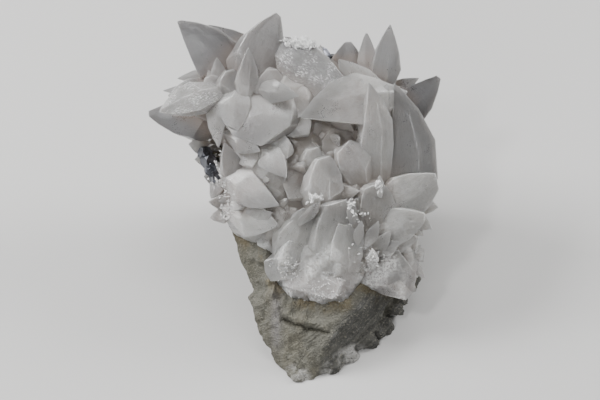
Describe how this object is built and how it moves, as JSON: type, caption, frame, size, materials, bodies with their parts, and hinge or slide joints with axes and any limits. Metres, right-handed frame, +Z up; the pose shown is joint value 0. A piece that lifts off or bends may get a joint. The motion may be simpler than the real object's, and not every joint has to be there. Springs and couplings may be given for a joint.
{
  "type": "calcite and galena mineral specimen",
  "caption": "Broken wedge of grey rock whose slope is covered with pointed milky calcite scalenohedra, with small patches of galena.",
  "frame": {"origin": "centre of the bounding box at the level of the flat underside", "axes": "+Z up as the specimen lies on its underside; -Y towards the front point of the rock, so the crystal-covered slope looks to -Y and up; +X to the right as seen from the front"},
  "size_m": [0.0978, 0.0995, 0.0809],
  "materials": {
    "grey_rock": "rough broken rock",
    "calcite": "translucent, milky, glassy faces",
    "galena": "bright lead-grey metallic cleavage"
  },
  "bodies": {
    "root": {"matrix_rock": "grey_rock", "calcite_crystals": "calcite", "galena_left": "galena", "galena_crown": "galena"}
  },
  "joints": []
}
